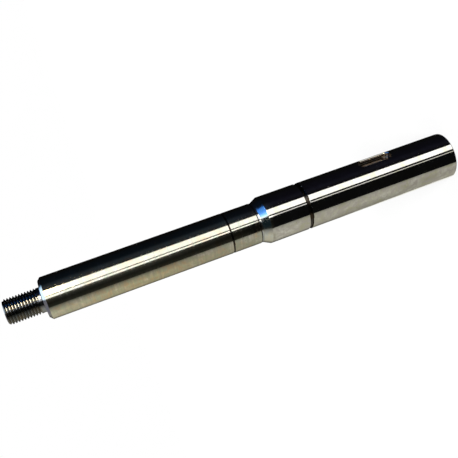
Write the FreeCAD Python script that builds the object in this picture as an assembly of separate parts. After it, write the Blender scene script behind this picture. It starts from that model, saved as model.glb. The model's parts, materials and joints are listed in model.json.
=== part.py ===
import FreeCAD, Part
import math
import os

# Stepped motor shaft: one stainless bar, turned, milled and ground, in one piece.
# It stands on the face of its thick end. The origin is the centre of that face, +Z runs along
# the axis to the threaded end, and +X points to the middle of the keyway.
# Lengths are in millimetres and angles in degrees.

# Thick journal, which carries the coupling or the rotor
thick_diameter = 35.0
thick_length = 152.0
end_chamfer = 0.5

# Slender journal, which carries the bearing and the seal
slender_diameter = 30.0
slender_length = 157.5
shoulder_chamfer = 2.0

# Taper between the journals, with a grinding relief at its foot
taper_length = 5.0
taper_edge_radius = 0.4
relief_width = 2.0
relief_depth = 0.25
relief_radius = 0.8
relief_ramp = 0.8

# Threaded stub: its thread is right-handed, and the stub has the thread's major diameter.
# A plain neck joins it to the shoulder.
thread_diameter = 18.0
thread_pitch = 2.0
thread_length = 23.0
neck_diameter = 17.5
neck_length = 3.0
neck_fillet = 1.0

# Ring groove in the thick journal, placed from the taper's thick edge to the groove's middle
ring_groove_from_taper = 31.0
ring_groove_width = 2.7
ring_groove_depth = 1.2
ring_groove_lip = 0.25
ring_groove_floor_radius = 0.2

# Fine groove in the slender journal, placed from the taper's slender edge to its middle
fine_groove_from_taper = 23.5
fine_groove_width = 1.2
fine_groove_depth = 0.7
fine_groove_lip = 0.1
fine_groove_floor_radius = 0.15

# Keyway: a blind slot milled with an end mill, so its ends are half-rounds
key_width = 10.0
key_length = 28.0
key_depth = 3.7
key_from_end = 45.0
key_floor_radius = 0.3
key_rim_chamfer = 0.2

# Centre holes, drilled for the grinding centres
centre_cone_angle = 60.0
drill_point_angle = 118.0
thick_centre_pilot = 4.0
thick_centre_mouth = 8.5
thick_centre_pilot_length = 3.2
thread_centre_pilot = 3.15
thread_centre_mouth = 6.7
thread_centre_pilot_length = 2.5

# Fixed ratio of a 60 degree metric thread: its root diameter is this share of the pitch less
# than the major diameter
ROOT_DIAMETER_SHARE = 1.2269

# How far a point may lie from a surface and still count as on it
TOLERANCE = 0.001

# Radii and heights that follow from the sizes above
thick_radius = thick_diameter / 2
slender_radius = slender_diameter / 2
thread_radius = thread_diameter / 2
neck_radius = neck_diameter / 2
thread_root_radius = thread_radius - ROOT_DIAMETER_SHARE * thread_pitch / 2
taper_slope = (thick_radius - slender_radius) / taper_length
taper_foot_z = thick_length + taper_length
shoulder_z = taper_foot_z + slender_length
thread_start_z = shoulder_z + neck_length
total_length = thread_start_z + thread_length


def centre_hole(pilot_diameter, mouth_diameter, pilot_length):
    """Corners of a centre hole from the drill's point to the mouth, as (radius, depth)."""
    pilot = pilot_diameter / 2
    mouth = mouth_diameter / 2
    cone_depth = (mouth - pilot) / math.tan(math.radians(centre_cone_angle / 2))
    wall_depth = cone_depth + pilot_length
    point_depth = wall_depth + pilot / math.tan(math.radians(drill_point_angle / 2))
    return [(0.0, point_depth), (pilot, wall_depth), (pilot, cone_depth), (mouth, 0.0)]


def groove(radius, middle, width, depth, lip, floor_radius):
    """Corners of a square groove with bevelled lips, as (radius, z, rounding)."""
    low = middle - width / 2
    high = middle + width / 2
    floor = radius - depth
    return [
        (radius, low - lip, 0.0),
        (radius - lip, low, 0.0),
        (floor, low, floor_radius),
        (floor, high, floor_radius),
        (radius - lip, high, 0.0),
        (radius, high + lip, 0.0),
    ]


def thick_end():
    """Corners of the thick end: its centre hole, its flat face and its edge chamfer."""
    hole = centre_hole(thick_centre_pilot, thick_centre_mouth, thick_centre_pilot_length)
    corners = [(radius, depth, 0.0) for radius, depth in hole]
    corners.append((thick_radius - end_chamfer, 0.0, 0.0))
    corners.append((thick_radius, end_chamfer, 0.0))
    return corners


def taper():
    """Corners of the taper and of the relief at its foot."""
    relief_r = slender_radius - relief_depth
    relief_z = thick_length + (thick_radius - relief_r) / taper_slope
    ramp_z = relief_z + relief_width
    return [
        (thick_radius, thick_length, taper_edge_radius),
        (relief_r, relief_z, relief_radius),
        (relief_r, ramp_z - relief_ramp, 0.0),
        (slender_radius, ramp_z, 0.0),
    ]


def threaded_end():
    """Corners of the shoulder, the neck, the stub for the thread and its centre hole."""
    neck_step = thread_radius - neck_radius
    point_chamfer = thread_radius - thread_root_radius
    corners = [
        (slender_radius, shoulder_z - shoulder_chamfer, 0.0),
        (slender_radius - shoulder_chamfer, shoulder_z, 0.0),
        (neck_radius, shoulder_z, neck_fillet),
        (neck_radius, thread_start_z - neck_step, 0.0),
        (thread_radius, thread_start_z, 0.0),
        (thread_radius, total_length - point_chamfer, 0.0),
        (thread_root_radius, total_length, 0.0),
    ]
    hole = centre_hole(thread_centre_pilot, thread_centre_mouth, thread_centre_pilot_length)
    corners.extend((radius, total_length - depth, 0.0) for radius, depth in reversed(hole))
    return corners


def rounded_outline(corners):
    """Closed wire in the XZ plane through the corners, each rounded by its own radius."""
    points = [FreeCAD.Vector(radius, 0, z) for radius, z, rounding in corners]
    edges = []
    start = points[0]
    for index in range(1, len(points) - 1):
        corner = points[index]
        rounding = corners[index][2]
        if rounding == 0.0:
            edges.append(Part.LineSegment(start, corner).toShape())
            start = corner
            continue
        back = (points[index - 1] - corner).normalize()
        ahead = (points[index + 1] - corner).normalize()
        half_angle = back.getAngle(ahead) / 2
        tangent_in = corner + back * (rounding / math.tan(half_angle))
        tangent_out = corner + ahead * (rounding / math.tan(half_angle))
        bisector = (back + ahead).normalize()
        crown = corner + bisector * (rounding / math.sin(half_angle) - rounding)
        edges.append(Part.LineSegment(start, tangent_in).toShape())
        edges.append(Part.Arc(tangent_in, crown, tangent_out).toShape())
        start = tangent_out
    edges.append(Part.LineSegment(start, points[-1]).toShape())
    edges.append(Part.LineSegment(points[-1], points[0]).toShape())
    return Part.Wire(edges)


def turned_bar():
    """The shaft as it leaves the lathe, before its keyway is milled."""
    ring = groove(
        thick_radius,
        thick_length - ring_groove_from_taper,
        ring_groove_width,
        ring_groove_depth,
        ring_groove_lip,
        ring_groove_floor_radius,
    )
    fine = groove(
        slender_radius,
        taper_foot_z + fine_groove_from_taper,
        fine_groove_width,
        fine_groove_depth,
        fine_groove_lip,
        fine_groove_floor_radius,
    )
    corners = thick_end() + ring + taper() + fine + threaded_end()
    face = Part.Face(rounded_outline(corners))
    return face.revolve(FreeCAD.Vector(0, 0, 0), FreeCAD.Vector(0, 0, 1), 360)


def slot_outline(x):
    """Obround wire of the keyway's length and width, in the plane at x."""
    half_width = key_width / 2
    low = key_from_end + half_width
    high = key_from_end + key_length - half_width
    right_low = FreeCAD.Vector(x, half_width, low)
    right_high = FreeCAD.Vector(x, half_width, high)
    left_low = FreeCAD.Vector(x, -half_width, low)
    left_high = FreeCAD.Vector(x, -half_width, high)
    top = FreeCAD.Vector(x, 0, high + half_width)
    bottom = FreeCAD.Vector(x, 0, low - half_width)
    return Part.Wire([
        Part.LineSegment(right_low, right_high).toShape(),
        Part.Arc(right_high, top, left_high).toShape(),
        Part.LineSegment(left_high, left_low).toShape(),
        Part.Arc(left_low, bottom, right_low).toShape(),
    ])


def keyway_cutter():
    """The space that the end mill clears, with the radius that it leaves round the floor."""
    floor_x = thick_radius - key_depth
    outline = Part.Face(slot_outline(floor_x))
    cutter = outline.extrude(FreeCAD.Vector(2 * key_depth, 0, 0))
    floor_edges = [
        edge for edge in cutter.Edges
        if all(abs(vertex.X - floor_x) < TOLERANCE for vertex in edge.Vertexes)
    ]
    return cutter.makeFillet(key_floor_radius, floor_edges)


def rim_edges(milled):
    """The edges where the keyway's walls break through the journal's surface."""
    low = key_from_end - TOLERANCE
    high = key_from_end + key_length + TOLERANCE
    found = []
    for edge in milled.Edges:
        middle = edge.valueAt((edge.FirstParameter + edge.LastParameter) / 2)
        points = [middle] + [vertex.Point for vertex in edge.Vertexes]
        in_span = all(low < point.z < high for point in points)
        radii = [math.hypot(point.x, point.y) for point in points]
        if in_span and all(abs(radius - thick_radius) < TOLERANCE for radius in radii):
            found.append(edge)
    return found


def shaft():
    """The finished shaft: the turned bar with its keyway milled and the rim deburred."""
    milled = turned_bar().cut(keyway_cutter())
    return milled.makeChamfer(key_rim_chamfer, rim_edges(milled))


motor_shaft = shaft()
solid = motor_shaft.Solids[0]
os.makedirs("parts", exist_ok=True)
solid.exportStep("parts/motor_shaft.step")
print("motor_shaft", "valid", solid.isValid(), "solids", len(motor_shaft.Solids))
print("volume in cubic centimetres", round(solid.Volume / 1000, 2))
print("total length", round(total_length, 3), "shoulder at", round(shoulder_z, 3))
print("faces", len(solid.Faces))
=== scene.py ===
"""Looks of a stepped motor shaft: one bar of bright steel, turned, milled, threaded and ground.

The frame is that of the part: the origin is the centre of the thick end's face, +Z runs along the
axis to the threaded end, and +X points to the middle of the keyway. The shaft's sizes are in
millimetres, and its surfaces and the studio in metres.
"""

import json
import logging
import math
from collections.abc import Sequence
from dataclasses import dataclass, field
from enum import IntEnum

import bpy
import numpy as np
from mathutils import Matrix, Vector
from numpy.typing import NDArray

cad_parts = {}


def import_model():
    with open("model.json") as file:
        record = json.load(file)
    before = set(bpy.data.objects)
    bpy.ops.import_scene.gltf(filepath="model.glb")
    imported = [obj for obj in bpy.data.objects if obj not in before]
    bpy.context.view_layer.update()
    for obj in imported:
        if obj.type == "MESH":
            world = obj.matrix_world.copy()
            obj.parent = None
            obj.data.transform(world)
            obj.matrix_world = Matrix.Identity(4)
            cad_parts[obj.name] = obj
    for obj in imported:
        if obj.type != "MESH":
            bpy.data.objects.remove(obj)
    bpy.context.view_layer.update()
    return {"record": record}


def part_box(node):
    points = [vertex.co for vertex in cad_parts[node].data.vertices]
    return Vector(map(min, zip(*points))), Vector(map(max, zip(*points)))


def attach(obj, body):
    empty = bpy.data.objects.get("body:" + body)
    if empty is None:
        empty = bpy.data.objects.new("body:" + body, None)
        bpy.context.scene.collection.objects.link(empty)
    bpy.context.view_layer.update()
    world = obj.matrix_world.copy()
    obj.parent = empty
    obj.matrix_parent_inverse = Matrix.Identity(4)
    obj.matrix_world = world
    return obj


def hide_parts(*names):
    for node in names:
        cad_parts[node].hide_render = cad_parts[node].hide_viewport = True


Array = NDArray[np.float64]
Colour = tuple[float, float, float]
Stops = tuple[tuple[float, Colour], ...]

MM = 0.001
FULL_TURN = 2 * math.pi
UP = np.array([0.0, 0.0, 1.0])
WHITE = (1.0, 1.0, 1.0, 1.0)
LOG = logging.getLogger("motor_shaft")


def round_axis(radius: Array | float, angle: Array, height: Array | float) -> Array:
    """Places round the shaft's axis: the radius by the angle's cosine and sine, and the height."""
    places = np.broadcast_arrays(radius * np.cos(angle), radius * np.sin(angle), height)
    return np.stack(places, axis=-1)


class Finish(IntEnum):
    """The finish of a stretch of the shaft, which is also the number of its material slot."""

    POLISHED = 0
    GROUND = 1
    TURNED = 2
    THREADED = 3
    MILLED = 4
    FACED = 5
    # Painted shade: a dark brown that stands for the shade in grooves, thread roots, the relief's ramp
    # and the keyway's hollows.
    PAINTED_SHADE = 6
    # Painted light: a lighter steel on the keyway's lit walls and on its floor's middle line.
    PAINTED_LIGHT = 7
    STUB = 8


@dataclass
class Surface:
    """A grid of points with a finish for each row of its faces, or for each face.

    Attributes:
        points: places in metres, as rows, columns and three coordinates.
        finishes: the finish of the faces after each row, with one column or one for each face.
        wraps: whether the last column joins the first.
        kept: which faces are made, or None for all of them.
    """

    points: Array
    finishes: NDArray[np.int32]
    wraps: bool = True
    kept: NDArray[np.bool_] | None = None

    def faces(self) -> tuple[NDArray[np.int64], NDArray[np.int32]]:
        """Number the corners of each face of the grid.

        Returns:
            The four corners of each face, and the face's finish.
        """
        rows, columns = self.points.shape[:2]
        numbers = np.arange(rows * columns).reshape(rows, columns)
        ahead = np.roll(numbers, -1, axis=1) if self.wraps else numbers[:, 1:]
        here = numbers if self.wraps else numbers[:, :-1]
        quads = np.stack([here[:-1], ahead[:-1], ahead[1:], here[1:]], axis=-1)
        finishes = np.broadcast_to(self.finishes.reshape(rows - 1, -1), quads.shape[:2])
        kept = np.ones(quads.shape[:2], bool) if self.kept is None else self.kept
        return quads[kept], finishes[kept].astype(np.int32)


@dataclass(frozen=True)
class Corner:
    """A corner of the shaft's outline, in millimetres.

    Attributes:
        radius: distance from the axis.
        height: distance from the thick end's face.
        finish: the finish of the stretch that starts here.
        rounding: radius of the corner's round.
    """

    radius: float
    height: float
    finish: Finish
    rounding: float = 0.0


@dataclass(frozen=True)
class CentreHole:
    """A lathe centre: a drilled pilot with a conical mouth, in millimetres and degrees.

    Attributes:
        pilot_diameter: diameter of the drilled pilot.
        mouth_diameter: diameter of the cone where it meets the face.
        pilot_length: length of the pilot's straight wall.
        cone_angle: angle between the cone's sides.
        point_angle: angle of the drill's point.
    """

    pilot_diameter: float
    mouth_diameter: float
    pilot_length: float
    cone_angle: float = 60.0
    point_angle: float = 118.0

    def outline(self) -> list[tuple[float, float]]:
        """Corners from the drill's point to the mouth.

        Returns:
            Radius and depth of each corner.
        """
        pilot = self.pilot_diameter / 2
        mouth = self.mouth_diameter / 2
        cone_depth = (mouth - pilot) / math.tan(math.radians(self.cone_angle / 2))
        wall_depth = cone_depth + self.pilot_length
        point_depth = wall_depth + pilot / math.tan(math.radians(self.point_angle / 2))
        return [(0.0, point_depth), (pilot, wall_depth), (pilot, cone_depth), (mouth, 0.0)]


@dataclass(frozen=True)
class Groove:
    """A square groove with bevelled lips and a rounded floor, in millimetres.

    Attributes:
        middle: height of the groove's middle.
        width: width between its walls.
        depth: depth of its floor under the journal.
        lip: width and depth of the bevel along each side.
        floor_radius: radius between the walls and the floor.
    """

    middle: float
    width: float
    depth: float
    lip: float
    floor_radius: float

    def corners(self, radius: float, journal: Finish) -> list[Corner]:
        """Corners of the groove in a journal.

        Args:
            radius: radius of the journal.
            journal: finish of the journal on the groove's far side.

        Returns:
            The corners, from the thick end's side on.
        """
        low = self.middle - self.width / 2
        high = self.middle + self.width / 2
        floor = radius - self.depth
        # The groove's walls and floor carry painted shade.
        return [
            Corner(radius, low - self.lip, Finish.TURNED),
            Corner(radius - self.lip, low, Finish.PAINTED_SHADE),
            Corner(floor, low, Finish.PAINTED_SHADE, self.floor_radius),
            Corner(floor, high, Finish.PAINTED_SHADE, self.floor_radius),
            Corner(radius - self.lip, high, Finish.TURNED),
            Corner(radius, high + self.lip, journal),
        ]


@dataclass(frozen=True)
class Keyway:
    """The blind slot that an end mill leaves in the thick journal, in millimetres.

    Its grid goes round the slot's outline, with as many faces along each side as the patch of the
    journal around the slot has there.

    Attributes:
        low: height of the slot's lowest point.
        length: length of the slot, with its round ends.
        width: width of the slot.
        depth: depth of its floor under the journal's crown.
        floor_radius: radius between the walls and the floor.
        rim_chamfer: width of the deburred rim.
        rim_fall: how far the rim falls from the journal to the wall.
        margin: how far the patch goes on below and above the slot.
        side_steps: faces along a straight side.
        end_steps: faces round a half-round end.
    """

    low: float = 45.0
    length: float = 28.0
    width: float = 10.0
    depth: float = 3.7
    floor_radius: float = 0.3
    rim_chamfer: float = 0.2
    rim_fall: float = 0.26
    margin: float = 3.0
    side_steps: int = 24
    end_steps: int = 32

    def patch_heights(self) -> Array:
        """Heights of the journal's rows beside the slot.

        Returns:
            The heights, evenly spaced, from below the slot to above it.
        """
        low = self.low - self.margin
        high = self.low + self.length + self.margin
        return np.linspace(low, high, self.side_steps + 1)

    def outline(self, grown: float) -> Array:
        """Points round the slot's outline, grown by a distance.

        The outline is a segment of the middle line, from one mill centre to the other, moved out
        by the mill's radius: straight on the sides and by an angle's cosine and sine on the ends.

        Args:
            grown: how far outside the slot's wall the outline runs, in millimetres.

        Returns:
            Across and height of each point, counter-clockwise from the lower right.
        """
        reach = self.width / 2 + grown
        centres = (self.low + self.width / 2, self.low + self.length - self.width / 2)
        along = np.arange(self.side_steps) / self.side_steps
        side = centres[0] + (centres[1] - centres[0]) * along
        turn = math.pi * np.arange(self.end_steps) / self.end_steps
        right = np.stack([np.full_like(side, reach), side], axis=-1)
        top = np.stack([reach * np.cos(turn), centres[1] + reach * np.sin(turn)], axis=-1)
        left = np.stack([np.full_like(side, -reach), centres[0] + centres[1] - side], axis=-1)
        bottom = np.stack([-reach * np.cos(turn), centres[0] - reach * np.sin(turn)], axis=-1)
        return np.concatenate([right, top, left, bottom])

    def patch_edge(self, half_angle: float) -> Array:
        """Points round the edge of the journal's patch, matched to those of the outline.

        Args:
            half_angle: angle from the keyway's middle to the patch's side, in radians.

        Returns:
            Angle and height of each point.
        """
        heights = self.patch_heights()
        across = np.linspace(half_angle, -half_angle, self.end_steps + 1)
        right = np.stack([np.full(self.side_steps, half_angle), heights[:-1]], axis=-1)
        top = np.stack([across[:-1], np.full(self.end_steps, heights[-1])], axis=-1)
        left = np.stack([np.full(self.side_steps, -half_angle), heights[:0:-1]], axis=-1)
        bottom = np.stack([-across[:-1], np.full(self.end_steps, heights[0])], axis=-1)
        return np.concatenate([right, top, left, bottom])

    def journal_patch(self, radius: float, half_angle: float, steps: int = 8) -> Surface:
        """The journal's surface between the patch's edge and the slot's rim.

        Each row is a blend of the two outlines in angle and height, on the cylinder.

        Args:
            radius: radius of the journal, in millimetres.
            half_angle: angle from the keyway's middle to the patch's side, in radians.
            steps: rows of faces from the edge to the rim.

        Returns:
            The surface.
        """
        edge = self.patch_edge(half_angle)
        rim = self.outline(self.rim_chamfer)
        rim = np.stack([np.arcsin(rim[:, 0] / radius), rim[:, 1]], axis=-1)
        share = np.linspace(0, 1, steps + 1)[:, None, None]
        flat = edge + (rim - edge) * share
        angle, height = flat[..., 0], flat[..., 1]
        points = round_axis(radius, angle, height)
        return Surface(points * MM, np.full(steps, Finish.POLISHED, np.int32))

    def pocket(
        self, radius: float, wall_steps: int = 4, round_steps: int = 6, floor_steps: int = 6
    ) -> Surface:
        """The slot itself: its deburred rim, its walls, the round at their foot and its floor.

        A wall point keeps its place across and along, and goes down in a straight line. The round
        follows a quarter circle, and the floor shrinks towards the slot's middle line.

        Args:
            radius: radius of the journal, in millimetres.
            wall_steps: rows of faces down the wall.
            round_steps: rows of faces down the round.
            floor_steps: rows of faces from the round to the middle line.

        Returns:
            The surface, from the rim to the middle line.
        """
        floor = radius - self.depth
        rim = self.outline(self.rim_chamfer)
        wall = self.outline(0.0)
        rim_depth = np.sqrt(radius**2 - rim[:, 0] ** 2)
        wall_top = np.sqrt(radius**2 - wall[:, 0] ** 2) - self.rim_fall
        rows = [np.column_stack([rim_depth, rim])]
        foot = floor + self.floor_radius
        for share in np.linspace(0, 1, wall_steps + 1):
            rows.append(np.column_stack([wall_top + (foot - wall_top) * share, wall]))
        for turn in np.linspace(0, math.pi / 2, round_steps + 1)[1:]:
            inset = self.floor_radius * (1 - math.cos(turn))
            down = np.full(len(wall), foot - self.floor_radius * math.sin(turn))
            rows.append(np.column_stack([down, self.outline(-inset)]))
        flat = np.full(len(wall), floor)
        for share in np.linspace(0, 1, floor_steps + 1)[1:]:
            reach = (self.width / 2 - self.floor_radius) * (1 - share)
            rows.append(np.column_stack([flat, self.outline(reach - self.width / 2)]))
        shape = (len(rows) - 1, len(wall))
        finishes = self.pocket_finishes(shape, wall_steps, floor_steps)
        return Surface(np.stack(rows) * MM, finishes)

    def pocket_finishes(
        self, shape: tuple[int, int], wall_steps: int, floor_steps: int
    ) -> NDArray[np.int32]:
        """The finish of each face of the slot.

        The walls' upper half and the floor's middle line are painted light, a lighter steel where
        light falls, and the foot of the walls, the round and the floor's edge are painted shade. Of the
        round ends, the upper one is painted shade all over, and the lower one has a milled wall with a
        painted highlight on the floor's edge at its foot.

        Args:
            shape: rows and columns of faces.
            wall_steps: rows of faces down the wall, after the rim's row.
            floor_steps: rows of faces on the floor, which come last.

        Returns:
            The finishes, as rows and columns.
        """
        # The slot starts as painted shade all over, and the lines below lighten parts of it.
        finishes = np.full(shape, Finish.PAINTED_SHADE, np.int32)
        upper_end = slice(self.side_steps, self.side_steps + self.end_steps)
        lower_end = slice(-self.end_steps, None)
        # Painted light on the walls' upper half.
        finishes[1 : 1 + wall_steps // 2] = Finish.PAINTED_LIGHT
        finishes[1 - floor_steps :] = Finish.MILLED
        # Painted light along the floor's middle line.
        finishes[-1] = Finish.PAINTED_LIGHT
        # The upper round end is painted shade all over.
        finishes[:, upper_end] = Finish.PAINTED_SHADE
        finishes[1 : 1 + wall_steps, lower_end] = Finish.MILLED
        # Painted highlight: bright turned steel on the floor's edge at the lower end's foot.
        finishes[-floor_steps, lower_end] = Finish.TURNED
        finishes[0] = Finish.POLISHED
        return finishes


@dataclass(frozen=True)
class Thread:
    """The right-hand metric thread on the stub, in millimetres and degrees.

    Its basic profile has flanks at 60 degrees, a flat crest and a round root.

    Attributes:
        diameter: major diameter.
        pitch: distance between two crests.
        crest_share: width of the flat crest as a share of the pitch.
        flank_share: width of one flank as a share of the pitch.
        flank_angle: angle between a flank and a plane across the axis.
        root_turn: half of the turn that the root's arc makes.
        first_crest: distance from the free end to the first crest, in the first column.
        fade: length over which the thread rises from the neck.
        root_steps: faces over the root's arc.
        shaded_root_steps: how many of them, in the middle, are painted shade.
    """

    diameter: float = 18.0
    pitch: float = 2.0
    crest_share: float = 1 / 8
    flank_share: float = 5 / 16
    flank_angle: float = 30.0
    root_turn: float = 60.0
    first_crest: float = 1.9
    fade: float = 0.9
    root_steps: int = 9
    shaded_root_steps: int = 5

    def profile(self) -> Array:
        """The profile over one pitch, from a crest's middle to the next one's.

        The flank falls by its width over the tangent of its angle. The root is a circle's arc that
        joins the flanks, by the sine and cosine of its turn.

        Returns:
            Distance along the axis and depth under the crest of each point.
        """
        crest = self.crest_share * self.pitch / 2
        flank = self.flank_share * self.pitch
        fall = flank / math.tan(math.radians(self.flank_angle))
        turn = np.radians(np.linspace(-self.root_turn, self.root_turn, self.root_steps + 1))
        root_radius = (self.pitch / 2 - crest - flank) / math.sin(math.radians(self.root_turn))
        bottom = math.cos(math.radians(self.root_turn))
        root = np.column_stack([
            self.pitch / 2 + root_radius * np.sin(turn),
            fall + root_radius * (np.cos(turn) - bottom),
        ])
        down = np.array([[0.0, 0.0], [crest, 0.0], [crest + flank / 2, fall / 2]])
        up = np.column_stack([self.pitch - down[:0:-1, 0], down[:0:-1, 1]])
        return np.concatenate([down, root, up])

    def surface(self, angles: Array, start: float, end: float, neck: float) -> Surface:
        """The thread as rows that climb one pitch in a turn, cut off at both ends.

        A row's radius is the crest's less the profile's depth. It fades to the neck's radius at
        the start, by three squares less two cubes of the share of the fade that a point has gone,
        and a 45 degree cone limits it at the free end. The crests have the stub's finish. The flanks'
        dark steel is partly the thread's own tone and partly painted shade, and the middle of each
        root is painted shade.

        Args:
            angles: the shaft's columns, in radians.
            start: height where the neck ends.
            end: height of the free end's face.
            neck: radius of the neck.

        Returns:
            The surface.
        """
        profile = self.profile()
        spare = 2
        turns = math.ceil((end - start) / self.pitch) + spare
        first = end - self.first_crest - turns * self.pitch
        steps = np.arange(turns + spare)[:, None] * self.pitch + profile[None, :, 0]
        rows = first + steps.ravel()
        depths = np.tile(profile[:, 1], turns + spare)
        climb = self.pitch * angles / FULL_TURN
        heights = np.clip(rows[:, None] + climb[None, :], start, end)
        depth = self.depth_at(heights, climb, first, rows, depths)
        radius = self.diameter / 2 - depth
        share = np.clip((heights - start) / self.fade, 0, 1)
        radius = neck + (radius - neck) * share * share * (3 - 2 * share)
        root = self.diameter / 2 - profile[:, 1].max()
        radius = np.minimum(radius, root + end - heights)
        points = round_axis(radius, angles, heights)
        finishes = np.full(len(profile), Finish.THREADED, np.int32)
        finishes[[0, -1]] = Finish.STUB
        # The middle of each root is painted shade.
        dark = (len(profile) - self.shaded_root_steps) // 2
        finishes[dark : dark + self.shaded_root_steps] = Finish.PAINTED_SHADE
        return Surface(points * MM, np.tile(finishes, turns + spare)[:-1], wraps=False)

    @staticmethod
    def depth_at(heights: Array, climb: Array, first: float, rows: Array, depths: Array) -> Array:
        """Depth of the profile at each point, also where a row was cut off at an end.

        Args:
            heights: height of each point.
            climb: how far each column has climbed.
            first: height of the first row in the first column.
            rows: height of each row in the first column.
            depths: depth of each row.

        Returns:
            The depth at each point, read from the profile by linear interpolation.
        """
        return np.interp(np.maximum(heights - climb[None, :], first), rows, depths)


@dataclass(frozen=True)
class ShaftOutline:
    """Sizes of the turned outline, in millimetres and degrees, with the finish of each stretch.

    Attributes:
        thick_radius: radius of the thick journal.
        slender_radius: radius of the slender journal.
        total_length: length of the whole shaft.
        thick_length: height where the thick journal ends and the taper starts.
        end_chamfer: width of the thick end's edge chamfer.
        taper_length: length of the taper down to the slender journal's radius.
        taper_edge_radius: radius of the taper's edge with the thick journal.
        relief_width: width of the relief at the taper's foot.
        relief_depth: depth of the relief under the slender journal.
        relief_radius: radius between the taper and the relief's floor.
        relief_ramp: length of the ramp out of the relief.
        ring_groove_from_taper: from the taper's thick edge down to the ring groove's middle.
        fine_groove_from_taper: from the taper's foot up to the fine groove's middle.
        shoulder_chamfer: width of the shoulder's bevel.
        stub_length: length of the stub, with its neck.
        neck_length: length of the neck.
        neck_radius: radius of the neck.
        neck_fillet: radius between the shoulder's face and the neck.
        thick_centre: the centre hole in the thick end.
        thread_centre: the centre hole in the threaded end.
        round_step: the most that one face of a rounded corner turns.
        longest_row: the longest face along a straight stretch.
    """

    thick_radius: float
    slender_radius: float
    total_length: float
    thick_length: float = 152.0
    end_chamfer: float = 0.5
    taper_length: float = 5.0
    taper_edge_radius: float = 0.4
    relief_width: float = 2.0
    relief_depth: float = 0.25
    relief_radius: float = 0.8
    relief_ramp: float = 0.8
    ring_groove_from_taper: float = 31.0
    fine_groove_from_taper: float = 23.5
    shoulder_chamfer: float = 2.0
    stub_length: float = 26.0
    neck_length: float = 3.0
    neck_radius: float = 8.75
    neck_fillet: float = 1.0
    thick_centre: CentreHole = CentreHole(
        pilot_diameter=4.0, mouth_diameter=8.5, pilot_length=3.2
    )
    thread_centre: CentreHole = CentreHole(
        pilot_diameter=3.15, mouth_diameter=6.7, pilot_length=2.5
    )
    round_step: float = 10.0
    longest_row: float = 9.0

    @property
    def taper_foot(self) -> float:
        """Height where the taper meets the slender journal's radius."""
        return self.thick_length + self.taper_length

    @property
    def shoulder(self) -> float:
        """Height of the shoulder's face."""
        return self.total_length - self.stub_length

    def ring_groove(self) -> Groove:
        """The groove of a retaining ring in the thick journal."""
        middle = self.thick_length - self.ring_groove_from_taper
        return Groove(middle, width=2.7, depth=1.2, lip=0.25, floor_radius=0.2)

    def fine_groove(self) -> Groove:
        """The fine groove in the slender journal."""
        middle = self.taper_foot + self.fine_groove_from_taper
        return Groove(middle, width=1.2, depth=0.7, lip=0.1, floor_radius=0.15)

    def foot_to_neck(self, thread: Thread, keyway: Keyway) -> list[Corner]:
        """Corners from the thick end's centre hole to where the thread starts.

        Args:
            thread: the thread, for its radius.
            keyway: the keyway, whose patch needs rows of its own.

        Returns:
            The corners in their order along the outline.
        """
        thick, slender = self.thick_radius, self.slender_radius
        faced, turned = Finish.FACED, Finish.TURNED
        slope = (thick - slender) / self.taper_length
        relief = slender - self.relief_depth
        relief_z = self.thick_length + (thick - relief) / slope
        ramp_z = relief_z + self.relief_width
        bevel_z = self.shoulder - self.shoulder_chamfer
        neck_end = self.shoulder + self.neck_length - (thread.diameter / 2 - self.neck_radius)
        corners = [Corner(radius, depth, turned) for radius, depth in self.thick_centre.outline()[:-1]]
        corners.append(Corner(self.thick_centre.mouth_diameter / 2, 0.0, faced))
        corners.append(Corner(thick - self.end_chamfer, 0.0, turned))
        corners.append(Corner(thick, self.end_chamfer, Finish.POLISHED))
        corners += [Corner(thick, z, Finish.POLISHED) for z in keyway.patch_heights()]
        corners += self.ring_groove().corners(thick, Finish.POLISHED)
        # The ramp out of the relief carries painted shade.
        corners += [
            Corner(thick, self.thick_length, turned, self.taper_edge_radius),
            Corner(relief, relief_z, turned, self.relief_radius),
            Corner(relief, ramp_z - self.relief_ramp, Finish.PAINTED_SHADE),
            Corner(slender, ramp_z, Finish.GROUND),
        ]
        corners += self.fine_groove().corners(slender, Finish.GROUND)
        corners += [
            Corner(slender, bevel_z, turned),
            Corner(slender - self.shoulder_chamfer, self.shoulder, faced),
            Corner(self.neck_radius, self.shoulder, Finish.STUB, self.neck_fillet),
            Corner(self.neck_radius, neck_end, turned),
        ]
        return corners

    def free_end(self, thread: Thread) -> list[Corner]:
        """Corners of the threaded end's face and its centre hole.

        Args:
            thread: the thread, for the radius of its root.

        Returns:
            The corners, from the face's edge to the drill's point.
        """
        root = thread.diameter / 2 - float(thread.profile()[:, 1].max())
        corners = [Corner(root, self.total_length, Finish.FACED)]
        for radius, depth in reversed(self.thread_centre.outline()):
            corners.append(Corner(radius, self.total_length - depth, Finish.TURNED))
        return corners

    def turn(self, corners: Sequence[Corner], angles: Array) -> Surface:
        """Turn an outline about the axis.

        Args:
            corners: the outline.
            angles: the columns, in radians.

        Returns:
            The turned surface.
        """
        spots: list[Array] = [np.array([corners[0].radius, corners[0].height])]
        finishes: list[int] = []
        for before, corner, after in zip(corners[:-1], corners[1:], [*corners[2:], None]):
            if corner.rounding == 0.0 or after is None:
                arc = [np.array([corner.radius, corner.height])]
            else:
                arc = self.arc(before, corner, after)
            straight = self.straight(spots[-1], arc[0])
            spots += [*straight, *arc[1:]]
            finishes += [int(before.finish)] * len(straight)
            finishes += [int(corner.finish)] * (len(arc) - 1)
        outline = np.stack(spots)
        points = round_axis(outline[:, :1], angles, outline[:, 1:])
        return Surface(points * MM, np.array(finishes, np.int32))

    def straight(self, start: Array, end: Array) -> list[Array]:
        """Evenly spaced places from a start to an end, none further apart than longest_row."""
        count = max(1, math.ceil(float(np.hypot(*(end - start))) / self.longest_row))
        return [start + (end - start) * share for share in np.arange(1, count + 1) / count]

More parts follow.
